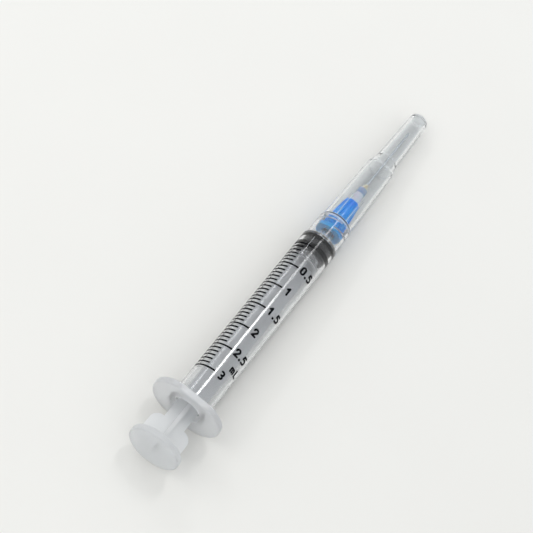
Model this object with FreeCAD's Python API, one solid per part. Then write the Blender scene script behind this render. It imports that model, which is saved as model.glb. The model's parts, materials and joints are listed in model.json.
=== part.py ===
"""Three-millilitre disposable syringe with a capped needle, lying at rest.

Sizes are in millimetres. Every piece is first made about the X axis, with the zero
line of the scale at X = 0, the needle towards +X and the scale facing +Z. The whole
syringe is then tipped to the slope at which it lies on a table, and its box is
centred over the origin with its lowest point at Z = 0.
"""

import FreeCAD, Part
import math
import os
from FreeCAD import Vector

# Barrel tube and the volume that its scale reads
bore_diameter = 9.0
barrel_wall = 0.85
full_volume = 3.0
end_wall = 0.7
end_face_slope = 0.10
home_overrun = 4.65
length_behind_full_mark = 9.3
stop_bead_height = 0.1
stop_bead_width = 0.8
stop_bead_setback = 2.4
shoulder_round = 0.5

# Finger flange
flange_width = 20.8
flange_height = 15.0
flange_flat_length = 8.8
flange_thickness = 1.9
flange_edge_round = 0.45
flange_root_round = 0.6

# Conical tip and locking collar, a 6 % lock fitting
cone_taper = 0.06
tip_end_diameter = 3.97
tip_length = 9.9
tip_bore_diameter = 2.2
collar_outer_diameter = 9.8
collar_bore_diameter = 8.2
collar_depth = 7.45
collar_floor = 0.4
collar_lip = 0.3

# Gasket
gasket_length = 4.5
gasket_rear_rib = 1.6
gasket_front_rib = 1.2
gasket_groove_depth = 0.4
gasket_rib_round = 0.18
gasket_neck_wall = 1.2

# Plunger rod
rod_rib_width = 6.4
rod_rib_thickness = 1.1
rod_flare_width = 11.9
rod_flare_length = 7.0
guide_disc_diameter = 8.3
guide_disc_thickness = 0.9
boss_diameter = 6.2
boss_length = 2.2
boss_gap = 0.6
rod_neck_diameter = 3.2
rod_head_diameter = 5.0
rod_head_length = 2.2
thumb_disc_diameter = 14.9
thumb_disc_thickness = 2.0
thumb_disc_round = 0.5
thumb_gap = 12.1

# Needle hub
hub_engagement = 6.4
hub_collar_diameter = 7.5
hub_lug_span = 7.8
hub_lug_height = 4.0
hub_collar_thickness = 1.3
hub_core_rear_diameter = 5.6
hub_core_front_diameter = 4.2
hub_body_length = 12.8
hub_rib_start = 1.9
hub_rib_rear_diameter = 6.4
hub_rib_front_diameter = 4.8
hub_rib_width = 0.9
hub_rib_count = 6
hub_rib_round = 0.5
socket_depth = 7.6
chamber_diameter = 1.8
nose_length = 5.85
nose_rear_diameter = 3.3
nose_front_diameter = 2.5
nose_band_diameter = 2.7
nose_band_length = 1.8
glue_well_diameter = 2.1
glue_well_depth = 1.5
glue_bead_length = 2.1
glue_bead_end_diameter = 0.9
glue_bead_shoulder_length = 0.4
glue_bead_shoulder_diameter = 1.9
throat_length = 1.5

# Steel cannula, 23 gauge
cannula_outer_diameter = 0.64
cannula_inner_diameter = 0.34
cannula_exposed_length = 25.4
cannula_buried_length = 7.6
cannula_bevel_angle = 13.0

# Needle cap
cap_mouth_gap = 0.6
cap_mouth_diameter = 9.0
cap_step_diameter = 8.2
cap_wide_length = 23.1
cap_step_length = 3.9
cap_tail_rear_diameter = 6.4
cap_tail_front_diameter = 5.4
cap_tail_length = 18.9
cap_wall = 0.8
cap_end_wall = 1.2
cap_end_round = 1.2
cap_grip_rib_count = 6
cap_grip_rib_width = 0.6
cap_grip_rib_length = 9.0

# Printed scale
ink_thickness = 0.04
mark_width = 0.5
marks_per_millilitre = 2
short_marks_between = 5
long_mark_start_angle = 5.0
short_mark_start_angle = 32.0
mark_end_angle = 78.0
digit_height = 2.65
digit_width = 1.7
digit_gap = 0.35
digit_stroke = 0.58
number_shift = 0.25
pair_start_angle = 3.5
single_start_angle = 7.0
slant_angle = -35.0
five_bowl_share = 0.31
unit_cap_height = 2.4
unit_cap_width = 1.2
unit_small_height = 1.75
unit_stroke = 0.5
unit_shift = 2.7
unit_start_angle = 25.0
page_depth = 0.5

# Clearances
running_clearance = 0.03
seat_clearance = 0.1
cap_grip_clearance = 0.15
print_clearance = 0.005
bond_clearance = 0.01

# Fineness of the search for edges and for the resting points
match_distance = 1e-4
mesh_distance = 0.01

# Places along the axis that several pieces share
CUBIC_MM_PER_ML = 1000.0
bore_radius = bore_diameter / 2
barrel_radius = bore_radius + barrel_wall
mm_per_ml = CUBIC_MM_PER_ML / (math.pi * bore_radius ** 2)
full_mark = -full_volume * mm_per_ml
gasket_front = home_overrun
gasket_rear = gasket_front - gasket_length
bore_end = gasket_front + seat_clearance
shoulder = bore_end + end_wall
flange_front = full_mark - length_behind_full_mark
flange_rear = flange_front - flange_thickness
thumb_disc_front = flange_rear - thumb_gap
thumb_disc_rear = thumb_disc_front - thumb_disc_thickness
collar_bottom = shoulder + collar_floor
collar_rim = collar_bottom + collar_depth
tip_end = collar_bottom + tip_length
tip_end_radius = tip_end_diameter / 2
taper_per_mm = cone_taper / 2
hub_rear = tip_end - hub_engagement
hub_body_front = hub_rear + hub_body_length
nose_end = hub_body_front + nose_length
cannula_rear = nose_end - cannula_buried_length
cannula_tip = nose_end + cannula_exposed_length
cap_mouth = collar_rim + cap_mouth_gap
cap_step = cap_mouth + cap_wide_length
cap_tail = cap_step + cap_step_length
cap_end = cap_tail + cap_tail_length
travel_stop = flange_rear + stop_bead_setback + stop_bead_width

AXIS = Vector(1, 0, 0)
ORIGIN = Vector(0, 0, 0)


def single(shape):
    """The one solid of a shape that was put together from several."""
    return shape.removeSplitter().Solids[0]


def turned(points):
    """Solid turned about the axis from (place along it, radius) points."""
    corners = [Vector(x, 0, radius) for x, radius in points]
    outline = Part.makePolygon(corners + [corners[0]])
    return Part.Face(outline).revolve(ORIGIN, AXIS, 360)


def rod(radius, start, end):
    """Plain cylinder on the axis from start to end."""
    return Part.makeCylinder(radius, end - start, Vector(start, 0, 0), AXIS)


def block(start, end, width, height):
    """Box from start to end along the axis, centred on it."""
    corner = Vector(start, -width / 2, -height / 2)
    return Part.makeBox(end - start, width, height, corner)


def around(shape, angle):
    """Copy of a shape turned about the axis by an angle in degrees."""
    copy = shape.copy()
    copy.rotate(ORIGIN, AXIS, angle)
    return copy


def ring_edges(shape, place, radius):
    """Round edges of a shape that circle the axis at a place."""
    found = []
    for edge in shape.Edges:
        curve = edge.Curve
        if not isinstance(curve, Part.Circle):
            continue
        off_place = abs(curve.Center.x - place) > match_distance
        off_size = abs(curve.Radius - radius) > match_distance
        off_axis = math.hypot(curve.Center.y, curve.Center.z) > match_distance
        if not (off_place or off_size or off_axis):
            found.append(edge)
    return found


def rounded(shape, place, radius, fillet):
    """Shape with its ring edge at a place and radius rounded."""
    return shape.makeFillet(fillet, ring_edges(shape, place, radius))


def flange_plate():
    """Oval finger flange: two straight sides, and ends that are single arcs."""
    half_flat = flange_flat_length / 2
    half_width = flange_width / 2
    half_height = flange_height / 2
    top_left = Vector(flange_rear, -half_flat, half_height)
    top_right = Vector(flange_rear, half_flat, half_height)
    low_left = Vector(flange_rear, -half_flat, -half_height)
    low_right = Vector(flange_rear, half_flat, -half_height)
    outline = Part.Wire([
        Part.makeLine(top_left, top_right),
        Part.Arc(top_right, Vector(flange_rear, half_width, 0), low_right).toShape(),
        Part.makeLine(low_right, low_left),
        Part.Arc(low_left, Vector(flange_rear, -half_width, 0), top_left).toShape(),
    ])
    plate = Part.Face(outline).extrude(AXIS * flange_thickness)
    rims = [edge for edge in plate.Edges if edge.BoundBox.XLength < match_distance]
    return plate.makeFillet(flange_edge_round, rims)


def make_barrel():
    """Clear tube, finger flange, conical tip and locking collar, moulded in one."""
    tube = turned([
        (flange_rear, 0),
        (flange_rear, barrel_radius),
        (shoulder, barrel_radius),
        (shoulder, 0),
    ])
    tube = rounded(tube, shoulder, barrel_radius, shoulder_round)
    body = tube.fuse(flange_plate())
    root = ring_edges(body, flange_front, barrel_radius)
    body = body.makeFillet(flange_root_round, root)

    collar = rod(collar_outer_diameter / 2, shoulder, collar_rim)
    collar = rounded(collar, collar_rim, collar_outer_diameter / 2, collar_lip)
    collar = collar.cut(rod(collar_bore_diameter / 2, collar_bottom, collar_rim))
    tip = turned([
        (collar_bottom, 0),
        (collar_bottom, tip_end_radius + taper_per_mm * tip_length),
        (tip_end, tip_end_radius),
        (tip_end, 0),
    ])
    body = body.fuse([collar, tip])

    end_face_depth = end_face_slope * bore_radius
    bore = turned([
        (flange_rear, 0),
        (flange_rear, bore_radius),
        (bore_end, bore_radius),
        (bore_end + end_face_depth, 0),
    ])
    bead_start = flange_rear + stop_bead_setback
    bead = turned([
        (bead_start, bore_radius),
        (bead_start + stop_bead_width / 2, bore_radius - stop_bead_height),
        (travel_stop, bore_radius),
    ])
    fluid_way = rod(tip_bore_diameter / 2, bore_end, tip_end)
    return single(body.cut([bore.cut(bead), fluid_way]))


def make_gasket():
    """Black rubber gasket: two sealing ribs, a groove and a shallow front cone."""
    rib_radius = bore_radius - running_clearance
    groove_radius = rib_radius - gasket_groove_depth
    groove_start = gasket_rear + gasket_rear_rib
    groove_end = gasket_front - gasket_front_rib
    ramp = gasket_groove_depth / 2
    solid = turned([
        (gasket_rear, 0),
        (gasket_rear, rib_radius),
        (groove_start, rib_radius),
        (groove_start + ramp, groove_radius),
        (groove_end - ramp, groove_radius),
        (groove_end, rib_radius),
        (gasket_front, rib_radius),
        (gasket_front + end_face_slope * rib_radius, 0),
    ])
    solid = rounded(solid, gasket_rear, rib_radius, gasket_rib_round)
    solid = rounded(solid, gasket_front, rib_radius, gasket_rib_round)
    neck_radius = rod_neck_diameter / 2 + seat_clearance
    head_radius = rod_head_diameter / 2 + seat_clearance
    pocket_start = gasket_rear + gasket_neck_wall
    pocket_end = pocket_start + rod_head_length + 2 * seat_clearance
    pocket = rod(neck_radius, gasket_rear, pocket_start)
    pocket = pocket.fuse(rod(head_radius, pocket_start, pocket_end))
    return single(solid.cut(pocket))


def rod_flare():
    """Fin each side of the rod that widens it, in a quarter round, at the thumb disc."""
    flare_end = thumb_disc_front + rod_flare_length
    fin = block(thumb_disc_front, flare_end, rod_flare_width, rod_rib_thickness)
    corners = []
    for edge in fin.Edges:
        upright = edge.BoundBox.ZLength > match_distance
        if upright and edge.CenterOfMass.x > flare_end - match_distance:
            corners.append(edge)
    return fin.makeFillet((rod_flare_width - rod_rib_width) / 2, corners)


def make_plunger_rod():
    """Cross-ribbed rod with a thumb disc, a guide disc and a head in the gasket."""
    boss_front = gasket_rear - boss_gap
    boss_rear = boss_front - boss_length
    guide_rear = boss_rear - guide_disc_thickness
    disc_radius = thumb_disc_diameter / 2
    disc = rod(disc_radius, thumb_disc_rear, thumb_disc_front)
    disc = rounded(disc, thumb_disc_rear, disc_radius, thumb_disc_round)
    disc = rounded(disc, thumb_disc_front, disc_radius, thumb_disc_round)
    flat_rib = block(thumb_disc_front, guide_rear, rod_rib_width, rod_rib_thickness)
    upright_rib = block(thumb_disc_front, guide_rear, rod_rib_thickness, rod_rib_width)
    guide = rod(guide_disc_diameter / 2, guide_rear, boss_rear)
    boss = rod(boss_diameter / 2, boss_rear, boss_front)
    head_start = gasket_rear + gasket_neck_wall + seat_clearance
    head_end = head_start + rod_head_length
    neck = rod(rod_neck_diameter / 2, boss_front, head_start)
    head = rod(rod_head_diameter / 2, head_start, head_end)
    return single(disc.fuse([flat_rib, upright_rib, rod_flare(), guide, boss, neck, head]))


def hub_lugs():
    """Two lugs, one each side, that the collar's thread holds."""
    front = hub_rear + hub_collar_thickness
    strip = block(hub_rear, front, hub_lug_span, hub_lug_height)
    return rod(hub_lug_span / 2, hub_rear, front).common(strip)


def hub_ribs():
    """Grip ribs along the hub, standing out of a tapered core."""
    start = hub_rear + hub_rib_start
    rear_radius = hub_rib_rear_diameter / 2
    front_radius = hub_rib_front_diameter / 2
    envelope = turned([
        (start, 0),
        (start, rear_radius - hub_rib_round),
        (start + hub_rib_round, rear_radius),
        (hub_body_front - hub_rib_round, front_radius),
        (hub_body_front, front_radius - hub_rib_round),
        (hub_body_front, 0),
    ])
    plates = []
    for number in range(hub_rib_count // 2):
        plate = block(start, hub_body_front, hub_rib_rear_diameter, hub_rib_width)
        plates.append(around(plate, number * 360.0 / hub_rib_count))
    return [envelope.common(plate) for plate in plates]


def make_needle_hub():
    """Blue needle hub: lugs, tapered socket, grip ribs and a narrow nose."""
    collar_end = hub_rear + hub_collar_thickness
    band_start = nose_end - nose_band_length
    core = turned([
        (hub_rear, 0),
        (hub_rear, hub_collar_diameter / 2),
        (collar_end, hub_collar_diameter / 2),
        (collar_end, hub_core_rear_diameter / 2),
        (hub_body_front, hub_core_front_diameter / 2),
        (hub_body_front, nose_rear_diameter / 2),
        (band_start, nose_front_diameter / 2),
        (band_start, nose_band_diameter / 2),
        (nose_end, nose_band_diameter / 2),
        (nose_end, 0),
    ])
    socket_mouth_radius = tip_end_radius + taper_per_mm * hub_engagement + running_clearance
    socket_end_radius = socket_mouth_radius - taper_per_mm * socket_depth
    socket_end = hub_rear + socket_depth
    throat_start = cannula_rear
    throat_end = throat_start + throat_length
    passage_radius = cannula_outer_diameter / 2 + bond_clearance
    well_start = nose_end - glue_well_depth
    hollow = turned([
        (hub_rear, 0),
        (hub_rear, socket_mouth_radius),
        (socket_end, socket_end_radius),
        (throat_start, chamber_diameter / 2),
        (throat_end, passage_radius),
        (well_start, passage_radius),
        (nose_end, glue_well_diameter / 2),
        (nose_end, 0),
    ])
    return single(core.fuse([hub_lugs()] + hub_ribs()).cut(hollow))


def make_hub_adhesive():
    """Set bead of adhesive that fills the nose and grips the cannula."""
    well_start = nose_end - glue_well_depth + bond_clearance
    bead_end = nose_end + glue_bead_length
    inner_radius = cannula_outer_diameter / 2 + bond_clearance
    well_radius = glue_well_diameter / 2 - bond_clearance
    return turned([
        (well_start + bond_clearance, inner_radius),
        (nose_end, well_radius),
        (nose_end + glue_bead_shoulder_length, glue_bead_shoulder_diameter / 2),
        (bead_end, glue_bead_end_diameter / 2),
        (bead_end, inner_radius),
    ])


def make_needle_cannula():
    """Steel tube with a bevelled point that faces up."""
    tube = rod(cannula_outer_diameter / 2, cannula_rear, cannula_tip)
    tube = tube.cut(rod(cannula_inner_diameter / 2, cannula_rear, cannula_tip))
    size = cannula_outer_diameter
    reach = 2 * size / math.tan(math.radians(cannula_bevel_angle))
    point = Vector(cannula_tip, 0, -size / 2)
    cutter = Part.makeBox(2 * reach, 2 * size, 2 * size, point - Vector(reach, size, 0))
    cutter.rotate(point, Vector(0, 1, 0), cannula_bevel_angle)
    return single(tube.cut(cutter))


def make_needle_cap():
    """Clear cap: a wide sleeve over the hub, a step and a narrower closed tail."""
    mouth_radius = cap_mouth_diameter / 2
    step_radius = cap_step_diameter / 2
    tail_rear_radius = cap_tail_rear_diameter / 2
    tail_front_radius = cap_tail_front_diameter / 2
    shell = turned([
        (cap_mouth, 0),
        (cap_mouth, mouth_radius),
        (cap_step, step_radius),
        (cap_tail, tail_rear_radius),
        (cap_end, tail_front_radius),
        (cap_end, 0),
    ])
    shell = rounded(shell, cap_end, tail_front_radius, cap_end_round)
    hollow_end = cap_end - cap_end_wall
    hollow = turned([
        (cap_mouth, 0),
        (cap_mouth, mouth_radius - cap_wall),
        (cap_step, step_radius - cap_wall),
        (cap_tail, tail_rear_radius - cap_wall),
        (hollow_end, tail_front_radius - cap_wall),
        (hollow_end, 0),
    ])
    hub_room = rod(hub_rib_rear_diameter / 2 + cap_grip_clearance, cap_mouth, cap_end)
    rib_end = cap_mouth + cap_grip_rib_length
    reach = mouth_radius - cap_wall / 2
    outline = turned([
        (cap_mouth, 0),
        (cap_mouth, reach),
        (cap_step, step_radius - cap_wall / 2),
        (cap_step, 0),
    ])
    ribs = []
    for number in range(cap_grip_rib_count // 2):
        plate = block(cap_mouth, rib_end, 2 * reach, cap_grip_rib_width)
        plate = around(plate, number * 360.0 / cap_grip_rib_count)
        ribs.append(plate.common(outline).cut(hub_room))
    return single(shell.cut(hollow).fuse(ribs))


def ink_shell(start, end):
    """Thin layer on the barrel from start to end, which print is cut out of."""
    inner = barrel_radius + print_clearance
    outer = inner + ink_thickness
    return rod(outer, start, end).cut(rod(inner, start, end))


def mark(volume, start_angle):
    """One scale mark, an arc round the barrel's side from its start angle."""
    place = -volume * mm_per_ml
    inner = barrel_radius + print_clearance
    low = place - mark_width / 2
    high = place + mark_width / 2
    outline = Part.makePolygon([
        Vector(low, 0, inner),
        Vector(high, 0, inner),
        Vector(high, 0, inner + ink_thickness),
        Vector(low, 0, inner + ink_thickness),
        Vector(low, 0, inner),
    ])
    sweep = mark_end_angle - start_angle
    arc = Part.Face(outline).revolve(ORIGIN, AXIS, -sweep)
    return around(arc, -start_angle)


def make_scale_marks():
    """Printed marks: long ones at each half millilitre and short ones between."""
    steps_per_long = short_marks_between + 1
    steps = round(full_volume * marks_per_millilitre * steps_per_long)
    marks = []
    for step in range(steps + 1):
        is_long = step % steps_per_long == 0
        start_angle = long_mark_start_angle if is_long else short_mark_start_angle
        marks.append(mark(full_volume * step / steps, start_angle))
    return Part.makeCompound(marks)


def stroke_line(first, second, width):
    """Straight pen stroke with round ends, standing up from a flat page."""
    start = Vector(first[0], first[1], 0)
    end = Vector(second[0], second[1], 0)
    along = end - start
    bar = Part.makeBox(along.Length, width, 1.0, Vector(0, -width / 2, 0))
    bar.rotate(ORIGIN, Vector(0, 0, 1), math.degrees(math.atan2(along.y, along.x)))
    bar.translate(start)
    return [bar, pen_dot(first, width), pen_dot(second, width)]


def stroke_arc(centre, radius, start, sweep, width):
    """Curved pen stroke with round ends, from a start angle through a sweep."""
    middle = Vector(centre[0], centre[1], 0)
    up = Vector(0, 0, 1)
    outer = Part.makeCylinder(radius + width / 2, 1.0, middle, up, sweep)
    curve = outer.cut(Part.makeCylinder(radius - width / 2, 1.0, middle, up))
    curve.rotate(middle, up, start)
    ends = []
    for angle in (start, start + sweep):
        across = centre[0] + radius * math.cos(math.radians(angle))
        along = centre[1] + radius * math.sin(math.radians(angle))
        ends.append(pen_dot((across, along), width))
    return [curve] + ends


def pen_dot(centre, width):
    """Round dot of the pen's width."""
    return Part.makeCylinder(width / 2, 1.0, Vector(centre[0], centre[1], 0))


def character(name, width, height, pen):
    """Pen strokes of one character, in a box from (0, 0) to (width, height)."""
    left = pen / 2
    right = width - pen / 2
    low = pen / 2
    high = height - pen / 2
    middle = width / 2
    bowl = (right - left) / 2
    if name == "0":
        sides = stroke_line((left, low + bowl), (left, high - bowl), pen)
        sides += stroke_line((right, low + bowl), (right, high - bowl), pen)
        sides += stroke_arc((middle, high - bowl), bowl, 0, 180, pen)
        return sides + stroke_arc((middle, low + bowl), bowl, 180, 180, pen)
    if name == "1":
        flag = stroke_line((middle, high), (left, high - bowl), pen)
        return flag + stroke_line((middle, high), (middle, low), pen)
    if name == "2":
        top = stroke_arc((middle, high - bowl), bowl, slant_angle, 180 - slant_angle, pen)
        across = middle + bowl * math.cos(math.radians(slant_angle))
        up = high - bowl + bowl * math.sin(math.radians(slant_angle))
        leg = stroke_line((across, up), (left, low), pen)
        return top + leg + stroke_line((left, low), (right, low), pen)
    if name == "3":
        small = (high - low) / 4
        reach = bowl - small
        upper = stroke_arc((middle + reach, high - small), small, -90, 180, pen)
        lower = stroke_arc((middle + reach, low + small), small, -90, 180, pen)
        bars = []
        for level in (high, (high + low) / 2, low):
            start = middle if level == (high + low) / 2 else left + pen / 2
            bars += stroke_line((start, level), (middle + reach, level), pen)
        return upper + lower + bars
    if name == "5":
        lower_bowl = (high - low) * five_bowl_share
        centre = (right - lower_bowl, low + lower_bowl)
        shelf = low + 2 * lower_bowl
        top = stroke_line((left + pen / 4, high), (right - pen / 4, high), pen)
        side = stroke_line((left + pen / 4, high), (left, shelf), pen)
        bar = stroke_line((left, shelf), (centre[0], shelf), pen)
        curve = stroke_arc(centre, lower_bowl, -90, 180, pen)
        return top + side + bar + curve + stroke_line((left, low), (centre[0], low), pen)
    if name == "m":
        arch = (right - left) / 4
        legs = []
        for post in (left, middle, right):
            legs += stroke_line((post, low), (post, high - arch), pen)
        legs += stroke_line((left, high - arch), (left, high), pen)
        legs += stroke_arc((left + arch, high - arch), arch, 0, 180, pen)
        return legs + stroke_arc((right - arch, high - arch), arch, 0, 180, pen)
    if name == "L":
        return stroke_line((left, high), (left, low), pen) + stroke_line((left, low), (right, low), pen)
    return [pen_dot((pen / 2, low), pen * 1.25)]


def printed(name, width, height, pen, baseline, angle):
    """Character on the barrel, its foot at a place and its left edge at an angle."""
    page = character(name, width, height, pen)
    drawing = page[0].fuse(page[1:])
    drawing.translate(Vector(-width / 2, 0, 0))
    drawing.rotate(ORIGIN, Vector(0, 0, 1), -90)
    drawing.translate(Vector(baseline, 0, barrel_radius - page_depth))
    shell = ink_shell(baseline - pen, baseline + height + pen)
    half_angle = math.degrees(width / 2 / barrel_radius)
    return around(drawing.common(shell), angle + half_angle)


def label_characters(text, foot, start_angle):
    """Characters of one number, run round the barrel from a start angle."""
    letters = []
    angle = start_angle
    for name in text:
        width = digit_stroke if name == "." else digit_width
        letters.append(printed(name, width, digit_height, digit_stroke, foot, angle))
        angle += math.degrees((width + digit_gap) / barrel_radius)
    return letters


def make_scale_numbers():
    """Printed numbers beside the long marks, and the unit beside the last."""
    letters = []
    for step in range(1, round(full_volume * marks_per_millilitre) + 1):
        volume = step / marks_per_millilitre
        text = f"{volume:g}"
        foot = -volume * mm_per_ml + number_shift - digit_height / 2
        start_angle = pair_start_angle if "." in text else single_start_angle
        letters += label_characters(text, foot, start_angle)
    foot = full_mark + unit_shift
    letters.append(printed("m", digit_width, unit_small_height, unit_stroke, foot, unit_start_angle))
    step_angle = math.degrees((digit_width + digit_gap) / barrel_radius)
    second_angle = unit_start_angle + step_angle
    letters.append(printed("L", unit_cap_width, unit_cap_height, unit_stroke, foot, second_angle))
    return Part.makeCompound(letters)


def resting_slope(shapes):
    """Slope of the table line under the syringe, from the two low points it lies on."""
    volume = sum(shape.Volume for shape in shapes)
    balance = sum(shape.CenterOfMass.x * shape.Volume for shape in shapes) / volume
    points = []
    for shape in shapes:
        vertices = shape.tessellate(mesh_distance)[0]
        points += [(vertex.x, vertex.z) for vertex in vertices if vertex.z < 0]
    hull = []
    for point in sorted(points):
        while len(hull) > 1 and not turns_up(hull[-2], hull[-1], point):
            hull.pop()
        hull.append(point)
    for rear, front in zip(hull, hull[1:]):
        if rear[0] <= balance <= front[0]:
            return math.atan2(front[1] - rear[1], front[0] - rear[0])
    return 0.0


def turns_up(first, second, third):
    """Whether three points of an outline seen from the side turn upwards."""
    ahead = (second[0] - first[0]) * (third[1] - second[1])
    return ahead > (second[1] - first[1]) * (third[0] - second[0])


pieces = {
    "barrel": make_barrel(),
    "scale_marks": make_scale_marks(),
    "scale_numbers": make_scale_numbers(),
    "plunger_rod": make_plunger_rod(),
    "gasket": make_gasket(),
    "needle_hub": make_needle_hub(),
    "hub_adhesive": make_hub_adhesive(),
    "needle_cannula": make_needle_cannula(),
    "needle_cap": make_needle_cap(),
}

# The syringe lies on two low points, needle end down
slope = resting_slope([pieces["barrel"], pieces["plunger_rod"], pieces["needle_cap"]])
for shape in pieces.values():
    shape.rotate(ORIGIN, Vector(0, 1, 0), math.degrees(slope))
whole = Part.makeCompound(list(pieces.values())).optimalBoundingBox()
lift = Vector(-whole.Center.x, -whole.Center.y, -whole.ZMin)


def placed(x, y, z):
    """Where a point of the level syringe lies once the syringe is at rest."""
    turn = FreeCAD.Rotation(Vector(0, 1, 0), math.degrees(slope))
    return turn.multVec(Vector(x, y, z)) + lift


os.makedirs("parts", exist_ok=True)
for name, shape in pieces.items():
    shape.translate(lift)
    shape.exportStep(f"parts/{name}.step")
    print(name, "valid", shape.isValid(), "solids", len(shape.Solids), "volume", round(shape.Volume, 3))
print("slope, degrees", round(math.degrees(slope), 3))
print("length, width, height", round(whole.XLength, 2), round(whole.YLength, 2), round(whole.ZLength, 2))
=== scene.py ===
import json
import math

import bmesh
import bpy
from mathutils import Matrix, Vector


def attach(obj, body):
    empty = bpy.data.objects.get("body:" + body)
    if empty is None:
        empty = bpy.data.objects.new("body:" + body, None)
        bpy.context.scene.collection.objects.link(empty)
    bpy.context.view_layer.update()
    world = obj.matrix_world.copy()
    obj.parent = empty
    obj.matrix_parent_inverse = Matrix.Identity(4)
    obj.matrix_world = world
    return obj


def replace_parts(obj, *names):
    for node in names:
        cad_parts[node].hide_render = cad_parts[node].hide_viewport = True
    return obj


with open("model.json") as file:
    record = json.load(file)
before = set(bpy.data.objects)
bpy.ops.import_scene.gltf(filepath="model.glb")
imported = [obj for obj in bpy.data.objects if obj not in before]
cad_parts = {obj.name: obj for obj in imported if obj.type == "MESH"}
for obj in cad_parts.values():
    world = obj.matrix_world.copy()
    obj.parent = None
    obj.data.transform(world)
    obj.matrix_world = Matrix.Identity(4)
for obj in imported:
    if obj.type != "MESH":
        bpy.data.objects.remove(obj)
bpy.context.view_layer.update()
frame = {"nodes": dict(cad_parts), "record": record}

# Sizes in metres
MM = 0.001


def per_mm(size):
    """Texture scale that gives features of a size in millimetres."""
    return 1.0 / (size * MM)


# The syringe's own line: places are counted along it from the scale's zero, needle ahead.
# At rest the line leans down a little towards the needle
TIP_END = 15.75 * MM
lock_tip = next(mount for mount in frame["record"]["mounts"] if mount["name"] == "lock_tip")
dip = math.atan2(-lock_tip["axis"][2], lock_tip["axis"][0])
level_to_rest = (
    Matrix.Translation(Vector(lock_tip["pos_m"]))
    @ Matrix.Rotation(dip, 4, "Y")
    @ Matrix.Translation(Vector((-TIP_END, 0.0, 0.0)))
)


def ahead(place):
    """Distance along the world's X of a place, in mm, on the syringe's own line."""
    return (level_to_rest @ Vector((place * MM, 0.0, 0.0))).x


# Material helpers
def linear(hex_colour):
    """Linear colour of an sRGB hex value."""
    channels = [int(hex_colour[place:place + 2], 16) / 255 for place in (1, 3, 5)]
    return [c / 12.92 if c <= 0.04045 else ((c + 0.055) / 1.055) ** 2.4 for c in channels] + [1.0]


def between(low, high):
    """Stops of a ramp that runs from one hex value to another."""
    return [(0.0, linear(low)), (1.0, linear(high))]


def add(tree, kind, settings=None, links=None, stops=()):
    """Node of a kind with its settings or input values, its inputs linked and its stops set."""
    node = tree.nodes.new(kind)
    for name, value in (settings or {}).items():
        if hasattr(node, name):
            setattr(node, name, value)
        else:
            node.inputs[name].default_value = value
    for name, socket in (links or {}).items():
        tree.links.new(socket, node.inputs[name])
    for index, (position, colour) in enumerate(stops):
        if index == len(node.color_ramp.elements):
            node.color_ramp.elements.new(position)
        node.color_ramp.elements[index].position = position
        node.color_ramp.elements[index].color = colour
    return node


def finish_of(name, **values):
    """New material, its node tree, its shader and its place coordinates."""
    material = bpy.data.materials.new(name)
    material.use_nodes = True
    tree = material.node_tree
    shader = tree.nodes["Principled BSDF"]
    for socket, value in values.items():
        shader.inputs[socket.replace("_", " ")].default_value = value
    place = add(tree, "ShaderNodeTexCoord").outputs["Object"]
    return material, tree, shader, place


def by_place(tree, place, stops):
    """Colour that changes along the syringe's own line, from colours by place in mm."""
    start, end = stops[0][0], stops[-1][0]
    parts = add(tree, "ShaderNodeSeparateXYZ", links={"Vector": place})
    share = add(tree, "ShaderNodeMapRange", {"From Min": ahead(start), "From Max": ahead(end)},
                {"Value": parts.outputs["X"]})
    ramp = add(tree, "ShaderNodeValToRGB", links={"Fac": share.outputs["Result"]},
               stops=[((mm - start) / (end - start), colour) for mm, colour in stops])
    return ramp.outputs["Color"]


def dress(tree, shader, colour, roughness, height, strength, depth_mm):
    """Colour, roughness and a fine relief that follows a height, put on a shader."""
    relief = add(tree, "ShaderNodeBump", {"Strength": strength, "Distance": depth_mm * MM},
                 {"Height": height})
    tree.links.new(colour, shader.inputs["Base Color"])
    tree.links.new(roughness, shader.inputs["Roughness"])
    tree.links.new(relief.outputs["Normal"], shader.inputs["Normal"])


# Moulded polypropylene: clear but never quite glass, with a faint haze drawn out along the
# flow of the melt and a skin as fine as the mould's polish. Thick places such as the rear
# discs and the ends of walls are milky and duller, so milk says how milky it is by place
POLYPROPYLENE_IOR = 1.49
FLOW_STRETCH = 4.0
HAZE_THIN = 0.3
HAZE_DENSE = 0.7
DENSE_ROUGHNESS = 1.7
MILK_ROUGHNESS = 0.8


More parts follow.
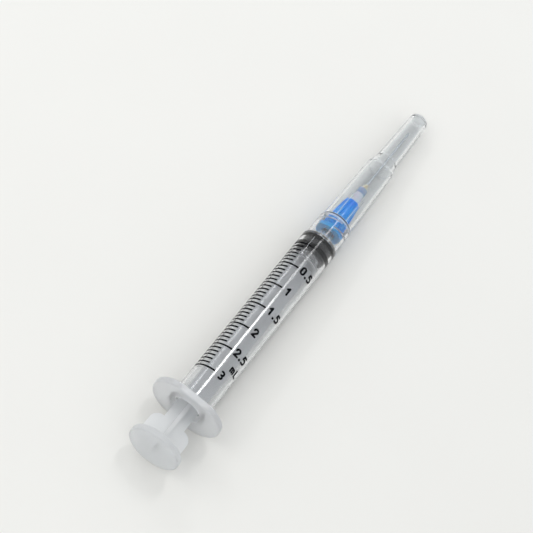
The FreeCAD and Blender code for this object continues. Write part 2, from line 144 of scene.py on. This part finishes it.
def polypropylene(name, milk, tints, rough, haze_mm, skin_mm, skin_depth_mm, ior=POLYPROPYLENE_IOR):
    """Clear moulding whose milk is given as pairs of a place in mm and a share from 0 to 1."""
    material, tree, shader, place = finish_of(name, IOR=ior)
    milky = by_place(tree, place, [(mm, [share, share, share, 1.0]) for mm, share in milk])
    clearness = add(tree, "ShaderNodeMath", {"operation": "SUBTRACT", "Value": 1.0},
                    {"Value_001": milky})
    tree.links.new(clearness.outputs["Value"], shader.inputs["Transmission Weight"])
    drawn = add(tree, "ShaderNodeMapping", {"Scale": (1.0 / FLOW_STRETCH, 1.0, 1.0)},
                {"Vector": place})
    haze = add(tree, "ShaderNodeTexNoise", {"Scale": per_mm(haze_mm), "Detail": 3.0},
               {"Vector": drawn.outputs["Vector"]}).outputs["Fac"]
    tint = add(tree, "ShaderNodeValToRGB", links={"Fac": haze}, stops=between(*tints))
    polish = add(tree, "ShaderNodeMapRange",
                 {"From Min": HAZE_THIN, "From Max": HAZE_DENSE,
                  "To Min": rough, "To Max": rough * DENSE_ROUGHNESS},
                 {"Value": haze})
    frosted = add(tree, "ShaderNodeMath", {"operation": "MULTIPLY_ADD", "Value_001": MILK_ROUGHNESS},
                  {"Value": milky, "Value_002": polish.outputs["Result"]})
    skin = add(tree, "ShaderNodeTexNoise", {"Scale": per_mm(skin_mm), "Detail": 2.0},
               {"Vector": place})
    dress(tree, shader, tint.outputs["Color"], frosted.outputs["Value"], skin.outputs["Fac"],
          0.5, skin_depth_mm)
    return material


BARREL_MILK = [
    # Finger flange and its root
    (-58.4, 0.34), (-56.4, 0.34), (-55.4, 0.05),
    # Tube, clearest over the gasket
    (-2.0, 0.05), (-0.8, 0.004), (4.9, 0.004),
    # End wall and the rear of the collar
    (5.1, 0.12), (6.0, 0.12), (6.4, 0.04), (8.6, 0.04),
    # Collar and its rim
    (9.3, 0.004), (12.8, 0.004), (12.95, 0.32), (13.3, 0.32),
]
THREAD_MILK = [(9.0, 0.24), (13.3, 0.32)]
ROD_MILK = [
    # Thumb disc, ribs and guide disc
    (-72.5, 0.3), (-3.4, 0.3),
    # Boss behind the gasket
    (-2.8, 0.03), (-0.5, 0.03),
    # Head inside the gasket
    (0.2, 0.3), (4.0, 0.3),
]
CAP_MILK = [
    # Mouth
    (13.9, 0.35), (14.0, 0.35),
    # Wide wall
    (14.3, 0.004), (30.0, 0.012), (36.4, 0.012),
    # Step down, milky at both of its edges
    (37.0, 0.2), (37.8, 0.012), (40.3, 0.012), (40.9, 0.16),
    # Narrow tail and its closed end
    (41.5, 0.012), (58.2, 0.012), (58.7, 0.2), (59.8, 0.35),
]

# The barrel and the ridges moulded inside its collar share one skin
BARREL_SKIN = {
    "tints": ("#f7f8fa", "#fcfdfe"), "rough": 0.04,
    "haze_mm": 6.0, "skin_mm": 0.9, "skin_depth_mm": 0.003,
}
# The cap's index is set under polypropylene's own, which keeps the edges of its thin wall pale
CAP_IOR = 1.36

barrel_finish = polypropylene("clear_polypropylene", BARREL_MILK, **BARREL_SKIN)
rod_finish = polypropylene(
    "rod_polypropylene", ROD_MILK, tints=("#f5f7f9", "#fbfcfd"), rough=0.1,
    haze_mm=5.0, skin_mm=0.7, skin_depth_mm=0.006)
thread_finish = polypropylene("ridge_polypropylene", THREAD_MILK, **BARREL_SKIN)
cap_finish = polypropylene(
    "cap_polypropylene", CAP_MILK, tints=("#f7fafc", "#fcfdfe"), rough=0.04,
    haze_mm=7.0, skin_mm=0.9, skin_depth_mm=0.003, ior=CAP_IOR)


# The hub's tint from its collar to the end of its nose, by place in mm, with painted light and painted
# shade in it
HUB_TINTS_AND_PAINTED_LIGHT = [
    # Collar and body: paler at the collar's rear face as painted light over the shade it sits in,
    # deepest at the body's rounded front as painted shade
    (9.35, "#30b4ff"), (12.4, "#14a8fc"), (20.2, "#0698fa"), (20.9, "#008eff"), (22.3, "#0096ff"),
    # Thin nose, with a bluer end round the adhesive
    (22.7, "#cfdbe6"), (26.0, "#d6e0e8"), (26.3, "#8fa8c8"), (28.0, "#a4b6cc"),
]


def blue_hub():
    """Tinted polypropylene, deep where the wall is thick and pale at the thin nose, with painted light
    on the collar's rear face and painted shade at the body's rounded front.
    """
    material, tree, shader, place = finish_of(
        "blue_polypropylene", IOR=POLYPROPYLENE_IOR, Specular_IOR_Level=0.3,
        Subsurface_Weight=0.5, Subsurface_Scale=1.2 * MM)
    speck = add(tree, "ShaderNodeTexNoise", {"Scale": per_mm(1.6), "Detail": 3.0},
                {"Vector": place}).outputs["Fac"]
    # The hub's blue by place, with painted light on the collar's rear face and painted shade at the
    # body's front
    tint = by_place(tree, place, [(mm, linear(colour)) for mm, colour in HUB_TINTS_AND_PAINTED_LIGHT])
    strength = add(tree, "ShaderNodeMapRange", {"To Min": 0.9, "To Max": 1.1}, {"Value": speck})
    mottled = add(tree, "ShaderNodeHueSaturation", links={
        "Color": tint, "Value": strength.outputs["Result"]})
    polish = add(tree, "ShaderNodeMapRange", {"To Min": 0.12, "To Max": 0.3}, {"Value": speck})
    skin = add(tree, "ShaderNodeTexNoise", {"Scale": per_mm(0.5)}, {"Vector": place})
    dress(tree, shader, mottled.outputs["Color"], polish.outputs["Result"], skin.outputs["Fac"],
          0.5, 0.006)
    return material


def black_rubber():
    """Moulded rubber pressed on the wall: near black, dull, with fine pits."""
    material, tree, shader, place = finish_of(
        "black_rubber", IOR=1.52, Specular_IOR_Level=0.04)
    bloom = add(tree, "ShaderNodeTexNoise", {"Scale": per_mm(1.4), "Detail": 4.0},
                {"Vector": place}).outputs["Fac"]
    tint = add(tree, "ShaderNodeValToRGB", links={"Fac": bloom},
               stops=between("#050607", "#0f1011"))
    polish = add(tree, "ShaderNodeMapRange", {"To Min": 0.38, "To Max": 0.6}, {"Value": bloom})
    pits = add(tree, "ShaderNodeTexNoise", {"Scale": per_mm(0.25), "Detail": 2.0},
               {"Vector": place})
    dress(tree, shader, tint.outputs["Color"], polish.outputs["Result"], pits.outputs["Fac"],
          0.5, 0.01)
    return material


def black_ink():
    """Screen-printed ink: dense black, thinner in tiny spots where the mesh let less through."""
    material, tree, shader, place = finish_of("black_ink", IOR=1.5, Specular_IOR_Level=0.04)
    grain = add(tree, "ShaderNodeTexNoise", {"Scale": per_mm(0.2), "Detail": 3.0},
                {"Vector": place}).outputs["Fac"]
    tint = add(tree, "ShaderNodeValToRGB", links={"Fac": grain},
               stops=between("#050507", "#141519"))
    polish = add(tree, "ShaderNodeMapRange", {"To Min": 0.5, "To Max": 0.75}, {"Value": grain})
    dress(tree, shader, tint.outputs["Color"], polish.outputs["Result"], grain, 0.4, 0.005)
    return material


def beige_epoxy():
    """Set adhesive: creamy and glossy, a little cloudy inside."""
    material, tree, shader, place = finish_of(
        "beige_epoxy", IOR=1.55, Subsurface_Weight=0.3, Subsurface_Scale=0.5 * MM)
    cloud = add(tree, "ShaderNodeTexNoise", {"Scale": per_mm(0.6), "Detail": 3.0},
                {"Vector": place}).outputs["Fac"]
    tint = add(tree, "ShaderNodeValToRGB", links={"Fac": cloud},
               stops=between("#d3c3a6", "#e6dac4"))
    polish = add(tree, "ShaderNodeMapRange", {"To Min": 0.15, "To Max": 0.35}, {"Value": cloud})
    dress(tree, shader, tint.outputs["Color"], polish.outputs["Result"], cloud, 0.5, 0.02)
    return material


# Draw lines run fifty times longer along the tube than they are wide
DRAW_STRETCH = 50.0


def polished_steel():
    """Drawn stainless tube: bright, with draw lines along its length."""
    material, tree, shader, place = finish_of("polished_steel", Metallic=1.0)
    drawn = add(tree, "ShaderNodeMapping", {"Scale": (1.0 / DRAW_STRETCH, 1.0, 1.0)},
                {"Vector": place})
    lines = add(tree, "ShaderNodeTexNoise", {"Scale": per_mm(0.06), "Detail": 2.0},
                {"Vector": drawn.outputs["Vector"]}).outputs["Fac"]
    tint = add(tree, "ShaderNodeValToRGB", links={"Fac": lines},
               stops=between("#a9adb2", "#d3d6d9"))
    polish = add(tree, "ShaderNodeMapRange", {"To Min": 0.14, "To Max": 0.3}, {"Value": lines})
    dress(tree, shader, tint.outputs["Color"], polish.outputs["Result"], lines, 0.3, 0.002)
    return material


ink = black_ink()
finishes = {
    "barrel": barrel_finish,
    "scale_marks": ink,
    "scale_numbers": ink,
    "plunger_rod": rod_finish,
    "gasket": black_rubber(),
    "needle_hub": blue_hub(),
    "hub_adhesive": beige_epoxy(),
    "needle_cannula": polished_steel(),
    "needle_cap": cap_finish,
}
for node_name, finish in finishes.items():
    for material_slot in frame["nodes"][node_name].material_slots:
        material_slot.material = finish


# Pieces made here
def object_of(name, mesh, finish):
    """Object with one finish, made from a mesh that is ready."""
    data = bpy.data.meshes.new(name)
    mesh.to_mesh(data)
    mesh.free()
    data.materials.append(finish)
    made = bpy.data.objects.new(name, data)
    bpy.context.scene.collection.objects.link(made)
    return made


def as_piece(name, mesh, finish, body):
    """Piece from a mesh on the syringe's own line, brought to rest and riding on a body."""
    bmesh.ops.transform(mesh, matrix=level_to_rest, verts=mesh.verts[:])
    piece = object_of(name, mesh, finish)
    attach(piece, body)
    return piece


# Lock collar thread: two low ridges wound inside the collar, half a turn apart, each with
# its foot a little way into the collar's wall
COLLAR_BORE = 4.1 * MM
THREAD_START = 9.9 * MM
THREAD_LEAD = 5.0 * MM
THREAD_TURNS = 0.55
THREAD_HEIGHT = 0.15 * MM
THREAD_ROOT = 0.01 * MM
THREAD_FOOT_WIDTH = 0.6 * MM
THREAD_CREST_WIDTH = 0.24 * MM
THREAD_STEPS = 96


def collar_thread():
    """Both ridges of the collar's thread, each one profile wound along a helix."""
    mesh = bmesh.new()
    foot = COLLAR_BORE + THREAD_ROOT
    crest = COLLAR_BORE - THREAD_HEIGHT
    corners = [
        (-THREAD_FOOT_WIDTH / 2, foot), (-THREAD_CREST_WIDTH / 2, crest),
        (THREAD_CREST_WIDTH / 2, crest), (THREAD_FOOT_WIDTH / 2, foot)]
    for start_angle in (0.0, math.pi):
        turn = Matrix.Rotation(start_angle, 4, "X")
        points = [mesh.verts.new(turn @ Vector((THREAD_START + x, 0.0, r))) for x, r in corners]
        bmesh.ops.spin(
            mesh, geom=[mesh.faces.new(points)], cent=(0, 0, 0), axis=(1, 0, 0),
            dvec=(THREAD_LEAD * THREAD_TURNS / THREAD_STEPS, 0, 0),
            angle=math.tau * THREAD_TURNS, steps=THREAD_STEPS, use_merge=False, use_duplicate=False)
    bmesh.ops.recalc_face_normals(mesh, faces=mesh.faces[:])
    as_piece("collar_thread", mesh, thread_finish, "barrel")


collar_thread()


# Rubber gasket: two ribs squeezed on the bore, so they press on the wall all round,
# a groove between them, a shallow cone in front and a pocket that the rod's head sits in
GASKET_REAR = 0.15 * MM
REAR_RIB_END = 1.75 * MM
FRONT_RIB_START = 3.45 * MM
FRONT_RIB_END = 4.73 * MM
CONE_POINT = 5.1 * MM
RIB_RADIUS = 4.52 * MM
RIB_ROUND = 0.06 * MM
GROOVE_RADIUS = 4.07 * MM
GROOVE_RAMP = 0.2 * MM
NECK_RADIUS = 1.7 * MM
POCKET_RADIUS = 2.6 * MM
POCKET_START = 1.35 * MM
POCKET_END = 3.75 * MM
GASKET_STEPS = 128
ROUND_STEPS = 4
SAME_PLACE = 0.001 * MM
SHARP_EDGE = math.radians(35)
GASKET_PROFILE = [
    (POCKET_END, 0.0),
    (POCKET_END, POCKET_RADIUS),
    (POCKET_START, POCKET_RADIUS),
    (POCKET_START, NECK_RADIUS),
    (GASKET_REAR, NECK_RADIUS),
    (GASKET_REAR, RIB_RADIUS),
    (REAR_RIB_END, RIB_RADIUS),
    (REAR_RIB_END + GROOVE_RAMP, GROOVE_RADIUS),
    (FRONT_RIB_START - GROOVE_RAMP, GROOVE_RADIUS),
    (FRONT_RIB_START, RIB_RADIUS),
    (FRONT_RIB_END, RIB_RADIUS),
    (CONE_POINT, 0.0),
]


def is_rib_corner(edge):
    """Whether an edge runs round the gasket at the height of its ribs."""
    start, end = (vert.co for vert in edge.verts)
    on_rib = all(abs(math.hypot(point.y, point.z) - RIB_RADIUS) < SAME_PLACE for point in (start, end))
    return on_rib and abs(start.x - end.x) < SAME_PLACE


def seated_gasket():
    """Half profile of the gasket turned round its line, the corners of its ribs rounded."""
    mesh = bmesh.new()
    points = [mesh.verts.new((x, 0.0, r)) for x, r in GASKET_PROFILE]
    profile = [mesh.edges.new(pair) for pair in zip(points, points[1:])]
    bmesh.ops.spin(
        mesh, geom=points + profile, cent=(0, 0, 0), axis=(1, 0, 0),
        angle=math.tau, steps=GASKET_STEPS, use_merge=True, use_duplicate=False)
    bmesh.ops.remove_doubles(mesh, verts=mesh.verts[:], dist=SAME_PLACE)
    bmesh.ops.bevel(
        mesh, geom=[edge for edge in mesh.edges if is_rib_corner(edge)], offset=RIB_ROUND,
        segments=ROUND_STEPS, profile=0.5, affect="EDGES", material=-1)
    bmesh.ops.recalc_face_normals(mesh, faces=mesh.faces[:])
    for face in mesh.faces:
        face.smooth = True
    for edge in mesh.edges:
        edge.smooth = edge.calc_face_angle(0.0) < SHARP_EDGE
    return as_piece("gasket_seated", mesh, finishes["gasket"], "plunger")


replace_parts(seated_gasket(), "gasket")


# Plain pale floor, in metres from its middle to a side, so far that low views don't see it end
FLOOR_REACH = 12.0


def pale_card():
    """Matt pale card with the faintest mottle."""
    material, tree, shader, place = finish_of("pale_card", Specular_IOR_Level=0.2, Roughness=0.85)
    mottle = add(tree, "ShaderNodeTexNoise", {"Scale": per_mm(40.0)}, {"Vector": place})
    tint = add(tree, "ShaderNodeValToRGB", links={"Fac": mottle.outputs["Fac"]},
               stops=between("#e6e5e1", "#e9e8e4"))
    tree.links.new(tint.outputs["Color"], shader.inputs["Base Color"])
    return material


floor_mesh = bmesh.new()
bmesh.ops.create_grid(floor_mesh, x_segments=1, y_segments=1, size=FLOOR_REACH)
floor = object_of("floor", floor_mesh, pale_card())


# Soft studio light, each box with its place, width and depth in metres and its power in watts
def softbox(name, place, width, depth, power, colour):
    """Area light with its width along the syringe, turned to face the syringe's line."""
    data = bpy.data.lights.new(name, "AREA")
    data.shape = "RECTANGLE"
    data.size = width
    data.size_y = depth
    data.energy = power
    data.color = linear(colour)[:3]
    light = bpy.data.objects.new(name, data)
    light.location = place
    light.rotation_euler = (-math.atan2(place[1], place[2]), 0.0, 0.0)
    bpy.context.scene.collection.objects.link(light)


softbox("key_light", (-0.35, 0.4, 0.6), 0.5, 0.5, 1.2, "#fffdf8")
softbox("strip_light", (0.28, 0.085, 0.607), 0.17, 0.055, 0.55, "#ffffff")
softbox("dim_strip_light", (0.43, 0.085, 0.607), 0.13, 0.055, 0.1, "#ffffff")
softbox("side_strip_light", (0.265, 0.47, 0.39), 0.29, 0.06, 0.36, "#f8faff")

world = bpy.data.worlds.new("studio")
bpy.context.scene.world = world
world.use_nodes = True
room_light = world.node_tree.nodes["Background"]
room_light.inputs["Color"].default_value = linear("#eceef0")
room_light.inputs["Strength"].default_value = 0.98

# Camera at the photograph's angle, its place in metres and its turn in degrees
CAMERA_PLACE = (-0.235536, 0.008089, 0.424999)
CAMERA_TURN = (22.9964, -18.0051, -54.157)

camera_data = bpy.data.cameras.new("camera")
camera_data.sensor_width = 36.0
camera_data.lens = 121.576
camera_data.clip_start = 0.01
camera = bpy.data.objects.new("camera", camera_data)
camera.location = CAMERA_PLACE
camera.rotation_euler = [math.radians(angle) for angle in CAMERA_TURN]
bpy.context.scene.collection.objects.link(camera)
bpy.context.scene.camera = camera
bpy.context.scene.view_settings.view_transform = "Standard"
